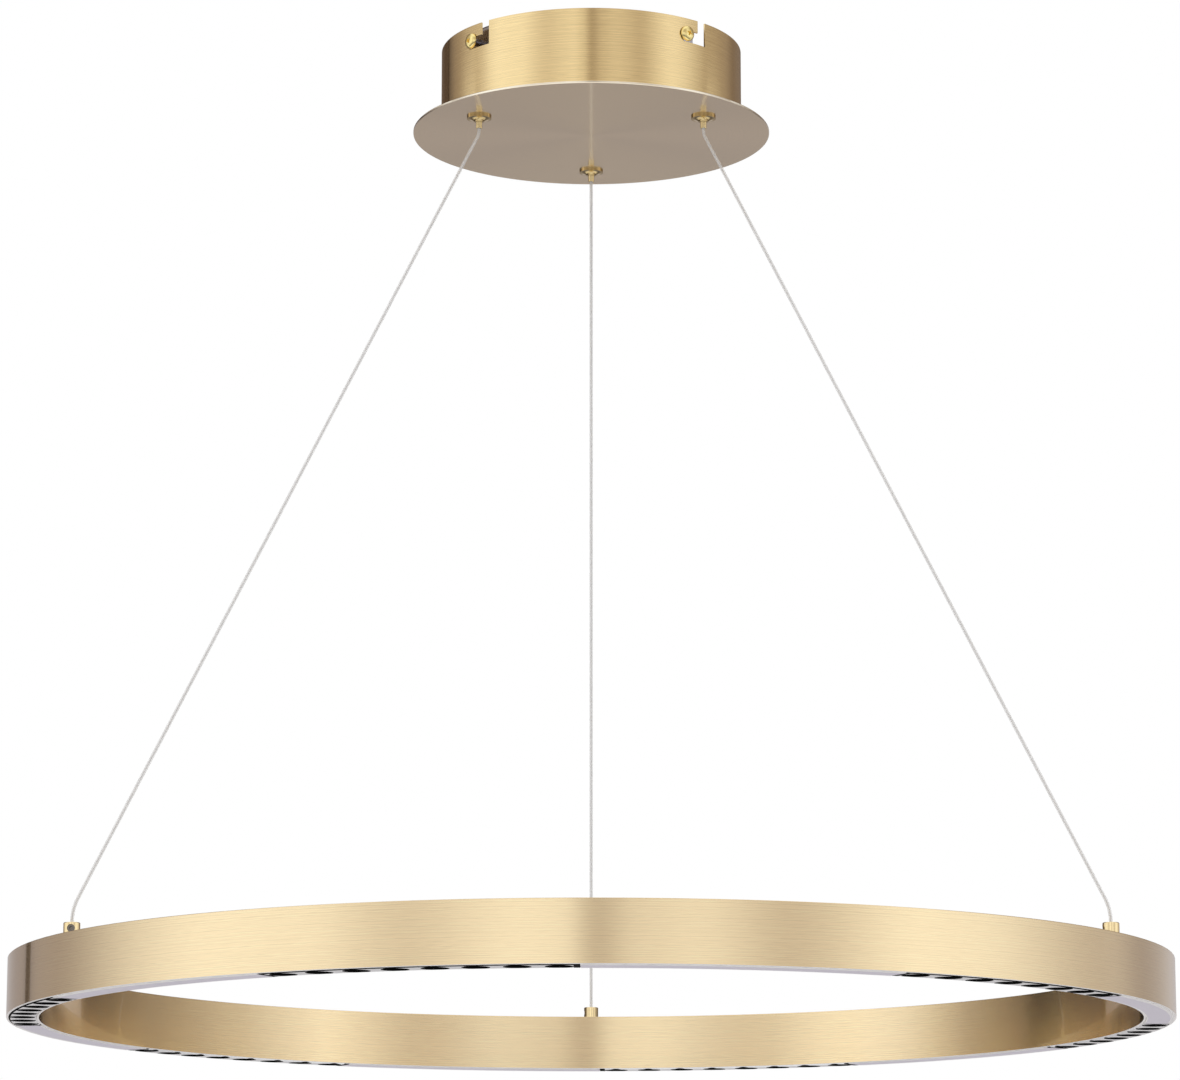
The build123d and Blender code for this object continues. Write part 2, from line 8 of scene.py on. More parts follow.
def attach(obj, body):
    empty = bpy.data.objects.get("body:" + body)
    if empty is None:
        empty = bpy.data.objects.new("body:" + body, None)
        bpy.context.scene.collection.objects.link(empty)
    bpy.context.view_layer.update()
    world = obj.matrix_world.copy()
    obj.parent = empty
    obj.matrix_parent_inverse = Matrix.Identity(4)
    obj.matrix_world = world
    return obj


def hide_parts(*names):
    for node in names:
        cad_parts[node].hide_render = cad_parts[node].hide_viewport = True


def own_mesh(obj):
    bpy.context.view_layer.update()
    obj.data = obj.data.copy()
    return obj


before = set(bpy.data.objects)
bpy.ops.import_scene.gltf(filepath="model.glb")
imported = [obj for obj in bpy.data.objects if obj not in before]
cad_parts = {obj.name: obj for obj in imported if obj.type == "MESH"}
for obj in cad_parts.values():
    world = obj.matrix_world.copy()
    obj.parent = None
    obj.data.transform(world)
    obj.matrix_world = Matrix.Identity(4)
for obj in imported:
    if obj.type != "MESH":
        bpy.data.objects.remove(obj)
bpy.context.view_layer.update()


# Ceiling bracket: four steel arms bent down at their ends, with an earth screw.
# It is pressed from 2 mm sheet, zinc plated, and screwed to the ceiling.
def new_finish(name):
    """A material with its shader, ready for more nodes."""
    material = bpy.data.materials.new(name)
    material.use_nodes = True
    nodes, links = material.node_tree.nodes, material.node_tree.links
    return material, nodes, links, nodes["Principled BSDF"]


def finish_parts(material, *names):
    """Gives a finish to CAD parts that keep their own shape."""
    for name in names:
        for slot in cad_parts[name].material_slots:
            slot.material = material


def pattern_group(name, spacing):
    """A new node group for a pattern in a finish, and the two nodes that it takes and gives values by."""
    group = bpy.data.node_groups.new(name, "ShaderNodeTree")
    add = group.interface.new_socket
    add(name="Colour", in_out="INPUT", socket_type="NodeSocketColor")
    for socket in (spacing, "Contrast", "Roughness", "Unevenness"):
        add(name=socket, in_out="INPUT", socket_type="NodeSocketFloat")
    add(name="Colour", in_out="OUTPUT", socket_type="NodeSocketColor")
    for socket in ("Roughness", "Height"):
        add(name=socket, in_out="OUTPUT", socket_type="NodeSocketFloat")
    return group, group.nodes.new("NodeGroupInput"), group.nodes.new("NodeGroupOutput")


def show_pattern(group, take, give, pattern):
    """Lets a pattern, from 0 to 1, vary the colour by Contrast and the roughness by Unevenness."""
    nodes, links = group.nodes, group.links
    centre = nodes.new("ShaderNodeMath")
    centre.operation = "SUBTRACT"
    centre.inputs[1].default_value = 0.5
    links.new(pattern, centre.inputs[0])
    shade = nodes.new("ShaderNodeMath")
    shade.operation = "MULTIPLY_ADD"
    shade.inputs[2].default_value = 1.0
    links.new(centre.outputs[0], shade.inputs[0])
    links.new(take.outputs["Contrast"], shade.inputs[1])
    tint = nodes.new("ShaderNodeVectorMath")
    tint.operation = "SCALE"
    links.new(take.outputs["Colour"], tint.inputs[0])
    links.new(shade.outputs[0], tint.inputs["Scale"])
    rough = nodes.new("ShaderNodeMath")
    rough.operation = "MULTIPLY_ADD"
    links.new(centre.outputs[0], rough.inputs[0])
    links.new(take.outputs["Unevenness"], rough.inputs[1])
    links.new(take.outputs["Roughness"], rough.inputs[2])
    links.new(tint.outputs[0], give.inputs["Colour"])
    links.new(rough.outputs[0], give.inputs["Roughness"])
    links.new(pattern, give.inputs["Height"])


def mottle_group():
    """Soft cloudiness in a finish, as plating, moulding or wear leaves it."""
    group, take, give = pattern_group("mottle", "Size")
    nodes, links = group.nodes, group.links
    place = nodes.new("ShaderNodeTexCoord")
    cloud = nodes.new("ShaderNodeTexNoise")
    cloud.inputs["Detail"].default_value = 3.0
    links.new(place.outputs["Object"], cloud.inputs["Vector"])
    links.new(take.outputs["Size"], cloud.inputs["Scale"])
    show_pattern(group, take, give, cloud.outputs["Fac"])
    return group


mottle = mottle_group()
relief_strength = 0.5


def use_pattern(nodes, group, colour, spacing, contrast, roughness, unevenness):
    """A pattern's node in a finish, with its five values set."""
    node = nodes.new("ShaderNodeGroup")
    node.node_tree = group
    for socket, value in zip(node.inputs, ((*colour, 1.0), spacing, contrast, roughness, unevenness)):
        socket.default_value = value
    return node


def mottled(name, colour, size, contrast, roughness, unevenness, metallic=0.0, relief=0.0):
    """A finish of one colour with the cloudiness of the real surface in it.

    Size is how many clouds there are to a metre, and relief is how deep they are in metres.
    """
    material, nodes, links, shader = new_finish(name)
    clouds = use_pattern(nodes, mottle, colour, size, contrast, roughness, unevenness)
    shader.inputs["Metallic"].default_value = metallic
    links.new(clouds.outputs["Colour"], shader.inputs["Base Color"])
    links.new(clouds.outputs["Roughness"], shader.inputs["Roughness"])
    if relief:
        bump = nodes.new("ShaderNodeBump")
        bump.inputs["Strength"].default_value = relief_strength
        bump.inputs["Distance"].default_value = relief
        links.new(clouds.outputs["Height"], bump.inputs["Height"])
        links.new(bump.outputs["Normal"], shader.inputs["Normal"])
    return material


zinc_plate = mottled("zinc_plate", (0.50, 0.49, 0.53), 260, 0.5, 0.25, 0.25, 1.0)
finish_parts(zinc_plate, "ceiling_bracket", "earth_screw")


# Canopy screws: four brass pan-head machine screws that hold the canopy on the bracket's tabs.
# Each head is domed and has a cross recess, and its shank passes through the drum's slot.
def from_axis_group():
    """Each point's distance from the fixture's axis, and its level."""
    group = bpy.data.node_groups.new("from_axis", "ShaderNodeTree")
    for name in ("Out", "Level"):
        group.interface.new_socket(name=name, in_out="OUTPUT", socket_type="NodeSocketFloat")
    nodes, links = group.nodes, group.links
    give = nodes.new("NodeGroupOutput")
    place = nodes.new("ShaderNodeTexCoord")
    apart = nodes.new("ShaderNodeSeparateXYZ")
    links.new(place.outputs["Object"], apart.inputs[0])
    flat = nodes.new("ShaderNodeVectorMath")
    flat.operation = "MULTIPLY"
    flat.inputs[1].default_value = (1.0, 1.0, 0.0)
    links.new(place.outputs["Object"], flat.inputs[0])
    out = nodes.new("ShaderNodeVectorMath")
    out.operation = "LENGTH"
    links.new(flat.outputs[0], out.inputs[0])
    links.new(out.outputs["Value"], give.inputs["Out"])
    links.new(apart.outputs["Z"], give.inputs["Level"])
    return group


from_axis = from_axis_group()


def paint_light_band(material, measure, test, limit, colour, metallic=1.0, lacquer=None):
    """Paints a highlight, and elsewhere shade, in another colour where a point's distance from the axis, or
    its level, passes a limit.
    """
    nodes, links = material.node_tree.nodes, material.node_tree.links
    shader = nodes["Principled BSDF"]
    where = nodes.new("ShaderNodeGroup")
    where.node_tree = from_axis
    mask = nodes.new("ShaderNodeMath")
    mask.operation = test
    mask.inputs[1].default_value = limit
    links.new(where.outputs[measure], mask.inputs[0])
    first = shader.inputs["Base Color"].links[0].from_socket
    mix = nodes.new("ShaderNodeMix")
    mix.data_type = "RGBA"
    mix.inputs["B"].default_value = (*colour, 1.0)
    links.new(mask.outputs[0], mix.inputs["Factor"])
    links.new(first, mix.inputs["A"])
    links.new(mix.outputs["Result"], shader.inputs["Base Color"])
    for socket, level in (("Metallic", metallic), ("Coat Weight", lacquer)):
        plain = shader.inputs[socket].default_value
        if level is not None and level != plain:
            change = nodes.new("ShaderNodeMath")
            change.operation = "MULTIPLY_ADD"
            change.inputs[1].default_value = level - plain
            change.inputs[2].default_value = plain
            links.new(mask.outputs[0], change.inputs[0])
            links.new(change.outputs[0], shader.inputs[socket])


screw_profile = (                    # distance from the screw's axis, height above the head's inner face
    (0.0, 0.0030), (0.0022, 0.0029), (0.0038, 0.0025), (0.0049, 0.0018), (0.0054, 0.0010),
    (0.0055, 0.0), (0.0025, 0.0), (0.0025, -0.0120), (0.0021, -0.0126), (0.0, -0.0126))
head_inner_face = 0.1079             # from the fixture's axis
head_height = 0.003
screw_level = -0.0119
screw_bearings = (                   # place round the axis, turn of the recess
    (38.5, 10), (128.5, 40), (218.5, 25), (308.5, 70))
recess_length = 0.0062
recess_width = 0.0013
recess_depth = 0.0016
recess_foot = (0.35, 0.6, 1.0)       # how far the recess narrows to its foot
head_steps = 40                      # round the head
crease_deg = 35                      # edges sharper than this stay sharp
shank_shade = (0.22, 0.20, 0.21)     # inside the head's inner face, in the canopy's shade
bright_brass = mottled("bright_brass", (1.0, 0.82, 0.36), 900, 0.3, 0.20, 0.15, 1.0)
# the shanks are painted dark as the canopy's shade
paint_light_band(bright_brass, "Out", "LESS_THAN", head_inner_face, shank_shade)


def mesh_object(name, mesh):
    """A bmesh as a new object."""
    data = bpy.data.meshes.new(name)
    mesh.to_mesh(data)
    mesh.free()
    made = bpy.data.objects.new(name, data)
    bpy.context.scene.collection.objects.link(made)
    return made


def turned_mesh(profile, steps):
    """The profile (distance from the axis, height) turned once round the mesh's own axis."""
    mesh = bmesh.new()
    line = [mesh.verts.new((out, 0.0, height)) for out, height in profile]
    edges = [mesh.edges.new(pair) for pair in zip(line, line[1:])]
    bmesh.ops.spin(mesh, geom=line + edges, cent=(0, 0, 0), axis=(0, 0, 1),
                   angle=2 * math.pi, steps=steps, use_merge=True)
    bmesh.ops.remove_doubles(mesh, verts=mesh.verts, dist=0.000001)
    bmesh.ops.recalc_face_normals(mesh, faces=mesh.faces)
    return mesh


def pan_head_screw():
    """A domed head with a cross recess, and its shank, with the head's inner face at the origin."""
    screw = mesh_object("screw", turned_mesh(screw_profile, head_steps))
    cutters = []
    for turn in (0.0, math.pi / 2):
        mesh = bmesh.new()
        bmesh.ops.create_cube(mesh, size=1.0)
        bmesh.ops.scale(mesh, verts=mesh.verts, vec=(recess_length, recess_width, 2 * recess_depth))
        foot = [v for v in mesh.verts if v.co.z < 0]
        bmesh.ops.scale(mesh, verts=foot, vec=recess_foot)
        place = Matrix.Translation((0, 0, head_height)) @ Matrix.Rotation(turn, 4, "Z")
        bmesh.ops.transform(mesh, verts=mesh.verts, matrix=place)
        cutter = mesh_object("recess", mesh)
        cut = screw.modifiers.new("recess", "BOOLEAN")
        cut.object = cutter
        cut.operation = "DIFFERENCE"
        cut.solver = "EXACT"
        cutters.append(cutter)
    bpy.context.view_layer.update()
    depsgraph = bpy.context.evaluated_depsgraph_get()
    data = bpy.data.meshes.new_from_object(screw.evaluated_get(depsgraph))
    for used in (screw, *cutters):
        bpy.data.objects.remove(used)
    return data


one_screw = pan_head_screw()
mesh = bmesh.new()
for bearing_deg, turn_deg in screw_bearings:
    before = len(mesh.verts)
    mesh.from_mesh(one_screw)
    mesh.verts.ensure_lookup_table()
    place = (Matrix.Rotation(math.radians(bearing_deg), 4, "Z")
             @ Matrix.Translation((head_inner_face, 0, screw_level))
             @ Matrix.Rotation(math.radians(90), 4, "Y") @ Matrix.Rotation(math.radians(turn_deg), 4, "Z"))
    bmesh.ops.transform(mesh, verts=mesh.verts[before:], matrix=place)
pan_heads = mesh_object("pan_head_screws", mesh)
pan_heads.data.materials.clear()
pan_heads.data.materials.append(bright_brass)
pan_heads.data.shade_smooth()
pan_heads.data.set_sharp_from_angle(angle=math.radians(crease_deg))
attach(pan_heads, "ceiling_bracket")
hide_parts("canopy_screws")


# Canopy drum: a rolled sheet-metal cylinder with four L-shaped bayonet slots and an inward lip.
# It is brass plated, brushed round its axis and lacquered, and hooks over the four screws.
grain_starts = (0.0, 37.5)           # where two sets of straight lines are taken from the noise
grain_changes = 90.0                 # to a metre along the brushing, from one set to the other
grain_fade = (0.42, 0.58)            # the share of the noise in which one set gives way
brush_stretch = 0.93                 # how far the lines draw a highlight out
brush_turn = 0.25                    # of a full turn: across the lines
lacquer_roughness = 0.03


def round_grain_group():
    """Fine brushed lines that run round the fixture's axis."""
    group, take, give = pattern_group("round_grain", "Fineness")
    nodes, links = group.nodes, group.links
    place = nodes.new("ShaderNodeTexCoord")
    apart = nodes.new("ShaderNodeSeparateXYZ")
    links.new(place.outputs["Object"], apart.inputs[0])
    flat = nodes.new("ShaderNodeVectorMath")
    flat.operation = "MULTIPLY"
    flat.inputs[1].default_value = (1.0, 1.0, 0.0)
    links.new(place.outputs["Object"], flat.inputs[0])
    radius = nodes.new("ShaderNodeVectorMath")
    radius.operation = "LENGTH"
    links.new(flat.outputs[0], radius.inputs[0])
    across = nodes.new("ShaderNodeMath")
    across.operation = "ADD"
    links.new(radius.outputs["Value"], across.inputs[0])
    links.new(apart.outputs["Z"], across.inputs[1])
    counted = nodes.new("ShaderNodeMath")
    counted.operation = "MULTIPLY"
    links.new(across.outputs[0], counted.inputs[0])
    links.new(take.outputs["Fineness"], counted.inputs[1])
    sets = []
    for start in grain_starts:
        begun = nodes.new("ShaderNodeMath")
        begun.operation = "ADD"
        begun.inputs[1].default_value = start
        links.new(counted.outputs[0], begun.inputs[0])
        line = nodes.new("ShaderNodeTexNoise")
        line.noise_dimensions = "1D"
        line.inputs["Scale"].default_value = 1.0
        line.inputs["Detail"].default_value = 2.0
        links.new(begun.outputs[0], line.inputs["W"])
        sets.append(line.outputs["Fac"])
    along = nodes.new("ShaderNodeVectorMath")
    along.operation = "SCALE"
    along.inputs["Scale"].default_value = grain_changes
    links.new(flat.outputs[0], along.inputs[0])
    fade = nodes.new("ShaderNodeTexNoise")
    fade.noise_dimensions = "4D"
    fade.inputs["Scale"].default_value = 1.0
    fade.inputs["Detail"].default_value = 1.0
    links.new(along.outputs[0], fade.inputs["Vector"])
    links.new(counted.outputs[0], fade.inputs["W"])
    change = nodes.new("ShaderNodeMapRange")
    change.inputs["From Min"].default_value, change.inputs["From Max"].default_value = grain_fade
    links.new(fade.outputs["Fac"], change.inputs["Value"])
    lines = nodes.new("ShaderNodeMix")
    links.new(change.outputs[0], lines.inputs["Factor"])
    links.new(sets[0], lines.inputs["A"])
    links.new(sets[1], lines.inputs["B"])
    show_pattern(group, take, give, lines.outputs["Result"])
    return group


round_grain = round_grain_group()


def brushed(name, colour, fineness, contrast, roughness, unevenness):
    """Metal brushed round the fixture's axis, under clear lacquer.

    Fineness is how many lines there are to a metre. They draw the highlights out across themselves.
    """
    material, nodes, links, shader = new_finish(name)
    lines = use_pattern(nodes, round_grain, colour, fineness, contrast, roughness, unevenness)
    shader.inputs["Metallic"].default_value = 1.0
    shader.inputs["Anisotropic"].default_value = brush_stretch
    shader.inputs["Anisotropic Rotation"].default_value = brush_turn
    shader.inputs["Coat Weight"].default_value = 1.0
    shader.inputs["Coat Roughness"].default_value = lacquer_roughness
    links.new(lines.outputs["Colour"], shader.inputs["Base Color"])
    links.new(lines.outputs["Roughness"], shader.inputs["Roughness"])
    return material


drum_brass = brushed("drum_brass", (0.92, 0.71, 0.36), 1600, 0.55, 0.20, 0.08)
finish_parts(drum_brass, "canopy_drum")


# Canopy plate: a thin brass-plated disc that closes the drum from below, brushed in circles.
# The grippers and the driver's studs are fixed to it, and its cut rim is painted pale as a highlight.
plate_brass = brushed("plate_brass", (0.97, 0.76, 0.48), 900, 0.15, 0.20, 0.06)
rim_highlight_start = 0.1272                   # where the painted highlight on the cut rim starts
# painted highlight: the rim in a paler colour
paint_light_band(plate_brass, "Out", "GREATER_THAN", rim_highlight_start, (1.0, 0.92, 0.76))
finish_parts(plate_brass, "canopy_plate")


# Driver: a moulded case with its lid and circuit board, held on two studs of the plate by nuts.
# It turns the mains into the low voltage that the suspension cables carry.
case_plastic = mottled("case_plastic", (0.78, 0.78, 0.75), 900, 0.15, 0.48, 0.15, relief=0.00008)
board_green = mottled("board_green", (0.03, 0.16, 0.07), 500, 0.5, 0.35, 0.2)
finish_parts(case_plastic, "driver_case", "driver_lid")
finish_parts(board_green, "driver_circuit")
finish_parts(zinc_plate, "driver_nuts")


# Terminal block, output connectors and their leads: the supply comes in at the block,
# and each output lead ends in a connector that holds a cable's tail.
terminal_white = mottled("terminal_white", (0.72, 0.72, 0.70), 700, 0.12, 0.42, 0.12, relief=0.00005)
lead_cover = mottled("lead_cover", (0.70, 0.70, 0.69), 400, 0.15, 0.45, 0.1)
finish_parts(terminal_white, "terminal_block", "output_connectors")
finish_parts(zinc_plate, "terminal_screws")
finish_parts(lead_cover, "supply_leads", "output_leads")


# Cable grippers: turned brass bodies with a flange and a cone, nutted to the plate.
# Each has a sprung plunger, which lets the cable slide when it is pressed, and a cap at the top.
gripper_brass = mottled("gripper_brass", (0.58, 0.44, 0.22), 1200, 0.3, 0.05, 0.05, 1.0)
nose_brass = mottled("nose_brass", (0.98, 0.84, 0.52), 1200, 0.3, 0.25, 0.08, 1.0)
spring_wire = mottled("spring_wire", (0.55, 0.56, 0.58), 600, 0.3, 0.25, 0.1, 1.0)
for k in (1, 2, 3):
    finish_parts(gripper_brass, f"gripper_body_{k}")
    finish_parts(nose_brass, f"gripper_plunger_{k}")
finish_parts(zinc_plate, "gripper_nuts", "gripper_caps")
gripper_circle = 0.091517
cable_angles = ((1, 90.0), (2, 210.0), (3, 330.0))
coil_radius = 0.00295                # of the spring's middle line
coil_wire_radius = 0.00045
coil_foot = -0.0600
coil_head = -0.0495
coil_turns = 6
coil_steps = 24                      # in each turn


def mesh_of(curve, name):
    """A curve's mesh, its bevel included."""
    holder = bpy.data.objects.new(name + "_line", curve)
    bpy.context.scene.collection.objects.link(holder)
    bpy.context.view_layer.update()
    depsgraph = bpy.context.evaluated_depsgraph_get()
    mesh = bpy.data.meshes.new_from_object(holder.evaluated_get(depsgraph))
    bpy.data.objects.remove(holder)
    return mesh


def add_piece(name, mesh, material):
    """A finished mesh as a piece with one material."""
    mesh.materials.clear()
    mesh.materials.append(material)
    piece = bpy.data.objects.new(name, mesh)
    bpy.context.scene.collection.objects.link(piece)
    return piece


for k, angle_deg in cable_angles:
    angle = math.radians(angle_deg)
    coil = bpy.data.curves.new(f"release_spring_{k}", "CURVE")
    coil.dimensions = "3D"
    coil.bevel_depth = coil_wire_radius
    coil.bevel_resolution = 1
    coil.use_fill_caps = True
    line = coil.splines.new("POLY")
    line.points.add(coil_turns * coil_steps)
    rise = (coil_head - coil_foot - 2 * coil_wire_radius) / (coil_turns * coil_steps)
    for index, point in enumerate(line.points):
        turn = 2 * math.pi * index / coil_steps
        point.co = (gripper_circle * math.cos(angle) + coil_radius * math.cos(turn),
                    gripper_circle * math.sin(angle) + coil_radius * math.sin(turn),
                    coil_foot + coil_wire_radius + rise * index, 1.0)
    spring = add_piece(f"release_spring_{k}", mesh_of(coil, f"release_spring_{k}"), spring_wire)
    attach(spring, "canopy")
    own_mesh(spring)
    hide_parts(f"gripper_spring_{k}")


# Ring profile: one aluminium channel, open downwards, rolled to a circle and joined.
# It is brass coloured, brushed along its length and lacquered, and its cut edges below are painted white as
# a highlight.
ring_brass = brushed("ring_brass", (0.97, 0.78, 0.48), 1600, 0.5, 0.20, 0.07)
edge_highlight_level = -0.69665
# painted highlight: the channel's bottom edges in white, without metal or lacquer
paint_light_band(ring_brass, "Level", "LESS_THAN", edge_highlight_level, (1.0, 0.98, 0.97),
              metallic=0.0, lacquer=0.0)
finish_parts(ring_brass, "ring_profile")


# LED strips: white circuit boards that lie on the channel's ribs above the inserts.
# They are aluminium with a white solder mask.
board_white = mottled("board_white", (0.84, 0.84, 0.82), 500, 0.1, 0.35, 0.1)
for k in range(1, 7):
    finish_parts(board_white, f"led_strip_{k}")


# Louvre inserts: moulded strips with eight tapered cups each, black inside against glare.
# The face is vacuum-metallised silver; the groove along its outer side is painted black as its shade.
cup_pitch = math.radians(3.75)
first_louvre_end = math.radians(-1.0)
louvre_spacing = math.radians(60.0)
louvre_length = math.radians(30.0)
cup_shade_radius = 0.0088            # a little past the mouth, over its black rim
cup_circle = 0.389
# the painted shade in the groove starts here
groove_shade_start = 0.39712
joint_shadow_width = 0.0040                   # the painted shadow where a louvre meets its neighbour
face_silver = (0.97, 0.97, 0.98)
face_metallic = 0.35
# the cups' own black, also the painted shade of the groove and the joints
black_and_shade = (0.003, 0.003, 0.003)
black_added_roughness = 0.4
louvre_shine = 0.05                  # of the moulding, which is kept dull against glare


def louvre_finish():
    """Silver on the face, black in the cups, and painted shade in the groove and at the end joints."""
    material, nodes, links, shader = new_finish("louvre_silver")

    def worked(operation, first, second=None, third=None):
        """One step of a sum on each point's place."""
        node = nodes.new("ShaderNodeMath")
        node.operation = operation
        for socket, value in zip(node.inputs, (first, second, third)):
            if value is None:
                continue
            if isinstance(value, bpy.types.NodeSocket):
                links.new(value, socket)
            else:
                socket.default_value = value
        return node.outputs[0]

    place = nodes.new("ShaderNodeTexCoord")
    apart = nodes.new("ShaderNodeSeparateXYZ")
    links.new(place.outputs["Object"], apart.inputs[0])
    across, deep = apart.outputs["X"], apart.outputs["Y"]
    out = worked("SQRT", worked("ADD", worked("MULTIPLY", across, across),
                                worked("MULTIPLY", deep, deep)))
    angle = worked("ARCTAN2", deep, across)
    along = worked("FLOORED_MODULO", worked("SUBTRACT", angle, first_louvre_end), louvre_spacing)
    in_pitch = worked("FLOORED_MODULO", along, cup_pitch)
    sideways = worked("MULTIPLY", worked("SUBTRACT", in_pitch, cup_pitch / 2), out)
    outward = worked("SUBTRACT", out, cup_circle)
    from_cup = worked("SQRT", worked("ADD", worked("MULTIPLY", sideways, sideways),
                                     worked("MULTIPLY", outward, outward)))
    cup = worked("LESS_THAN", from_cup, cup_shade_radius)
    groove_shade = worked("GREATER_THAN", out, groove_shade_start)
    from_middle = worked("ABSOLUTE", worked("SUBTRACT", along, louvre_length / 2))
    from_end = worked("MULTIPLY", worked("SUBTRACT", louvre_length / 2, from_middle), out)
    joint_shadow = worked("LESS_THAN", from_end, joint_shadow_width)
    dark = worked("MAXIMUM", worked("MAXIMUM", cup, groove_shade), joint_shadow)
    face = use_pattern(nodes, mottle, face_silver, 500, 0.1, 0.30, 0.1)
    colour = nodes.new("ShaderNodeMix")
    colour.data_type = "RGBA"
    colour.inputs["B"].default_value = (*black_and_shade, 1.0)
    links.new(dark, colour.inputs["Factor"])
    links.new(face.outputs["Colour"], colour.inputs["A"])
    links.new(colour.outputs["Result"], shader.inputs["Base Color"])
    links.new(worked("MULTIPLY_ADD", dark, black_added_roughness, face.outputs["Roughness"]),
              shader.inputs["Roughness"])
    links.new(worked("MULTIPLY_ADD", dark, -face_metallic, face_metallic), shader.inputs["Metallic"])
    shader.inputs["Specular IOR Level"].default_value = louvre_shine
    return material


louvre_silver = louvre_finish()
for k in range(1, 7):
    finish_parts(louvre_silver, f"louvre_{k}")


# Diffuser inserts: plain opal strips that snap in between the louvres.
# They are extruded plastic with a satin face.
opal_plastic = mottled("opal_plastic", (0.80, 0.76, 0.86), 300, 0.05, 0.30, 0.1)
edge_highlights = (                     # the strip's edges, painted white as a highlight beside the channel
    ("LESS_THAN", 0.3807), ("GREATER_THAN", 0.3959))
# paints a highlight along both edges of the strip
for test, limit in edge_highlights:
    paint_light_band(opal_plastic, "Out", test, limit, (1.0, 0.98, 0.97), metallic=0.0)
for k in range(1, 7):
    finish_parts(opal_plastic, f"diffuser_{k}")


# Cable posts: turned brass bushes on top of the ring, each with a socket set screw in its side.
# A nut inside the channel holds each, and the set screw grips the cable.
post_brass = mottled("post_brass", (0.92, 0.74, 0.42), 1200, 0.3, 0.06, 0.06, 1.0)
set_screw_steel = mottled("set_screw_steel", (0.20, 0.18, 0.16), 900, 0.4, 0.28, 0.2, 1.0)
for k in (1, 2, 3):
    finish_parts(post_brass, f"cable_post_{k}")
finish_parts(set_screw_steel, "set_screws")
finish_parts(zinc_plate, "post_nuts")


# Suspension cables: twisted tinned strands in a clear jacket, from the grippers to the posts.
# They hold the ring and carry its current; the tails go on up into the canopy.
cable_jacket_radius = 0.0012
strand_radius = 0.00018
strand_circle = 0.00036
strand_count = 6
lay_length = 0.0075
ring_circle = 0.389
nose_level = -0.0694
cable_tip = -0.6488                  # just clear of the piece inside the post
strand_step = 0.0008                 # between two points of a strand, at most about this
jacket_cover = 0.4                   # how much of what is behind it the clear jacket hides
cable_route = (                      # distance from the axis, level
    (gripper_circle, nose_level),
    (gripper_circle, -0.0734),
    (0.093376, -0.076942),
    (0.383030, -0.628712),
    (0.386980, -0.636240),
    (ring_circle, -0.6445),
    (ring_circle, cable_tip),
)
jacket_clear = mottled("jacket_clear", (1.0, 1.0, 1.0), 500, 0.1, 0.12, 0.05)
tinned_strand = mottled("tinned_strand", (0.97, 0.97, 0.97), 1500, 0.1, 0.35, 0.2)
finish_parts(jacket_clear, "cable_tail_1", "cable_tail_2", "cable_tail_3", "cable_ends")
jacket_clear.node_tree.nodes["Principled BSDF"].inputs["Alpha"].default_value = jacket_cover


def route_curve(name, angle):
    """The cable's smooth centreline, in the upright plane at that angle."""
    curve = bpy.data.curves.new(name, "CURVE")
    curve.dimensions = "3D"
    curve.resolution_u = 24
    line = curve.splines.new("NURBS")
    line.points.add(len(cable_route) - 1)
    for point, (out, level) in zip(line.points, cable_route):
        point.co = (out * math.cos(angle), out * math.sin(angle), level, 1.0)
    line.order_u = 3
    line.use_endpoint_u = True
    return curve


for k, angle_deg in cable_angles:
    angle = math.radians(angle_deg)
    centre = mesh_of(route_curve(f"cable_route_{k}", angle), f"cable_route_{k}")
    path = [v.co.copy() for v in centre.vertices]
    jacket_curve = route_curve(f"cable_jacket_{k}", angle)
    jacket_curve.bevel_depth = cable_jacket_radius
    jacket_curve.bevel_resolution = 3
    jacket = add_piece(f"cable_jacket_{k}", mesh_of(jacket_curve, f"cable_jacket_{k}"), jacket_clear)
    strands = bpy.data.curves.new(f"cable_strands_{k}", "CURVE")
    strands.dimensions = "3D"
    strands.bevel_depth = strand_radius
    strands.bevel_resolution = 1
    side = Vector((-math.sin(angle), math.cos(angle), 0.0))
    spaced, travelled = [(path[0], 0.0)], 0.0
    for here, there in zip(path, path[1:]):
        run = (there - here).length
        steps = max(1, round(run / strand_step))
        for step in range(1, steps + 1):
            spaced.append((here.lerp(there, step / steps), travelled + run * step / steps))
        travelled += run
    for strand in range(strand_count):
        line = strands.splines.new("POLY")
        line.points.add(len(spaced) - 1)
        for index, (point, distance) in enumerate(spaced):
            before = spaced[max(index - 1, 0)][0]
            after = spaced[min(index + 1, len(spaced) - 1)][0]
            up = (after - before).normalized().cross(side)
            turn = 2 * math.pi * (distance / lay_length + strand / strand_count)
            offset = (side * math.cos(turn) + up * math.sin(turn)) * strand_circle
            line.points[index].co = (*(point + offset), 1.0)
    core = add_piece(f"cable_strands_{k}", mesh_of(strands, f"cable_strands_{k}"), tinned_strand)
    for piece in (jacket, core):
        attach(piece, "canopy")
        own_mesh(piece)
    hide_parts(f"cable_{k}")


# Studio floor: a wide pale board, far below the hanging ring.
# It is painted matt, and it neither lights the fixture nor shows in its metal.
floor_size = 16.0
floor_level = -7.0
bpy.ops.mesh.primitive_plane_add(size=floor_size, location=(0, 0, floor_level))
floor = bpy.context.object
floor.name = "studio_floor"
floor_paint = new_finish("floor_paint")[0]
floor_shader = floor_paint.node_tree.nodes["Principled BSDF"]
floor_shader.inputs["Base Color"].default_value = (0.92, 0.92, 0.92, 1.0)
floor_shader.inputs["Roughness"].default_value = 0.8
floor.data.materials.append(floor_paint)
floor.visible_diffuse = floor.visible_glossy = False


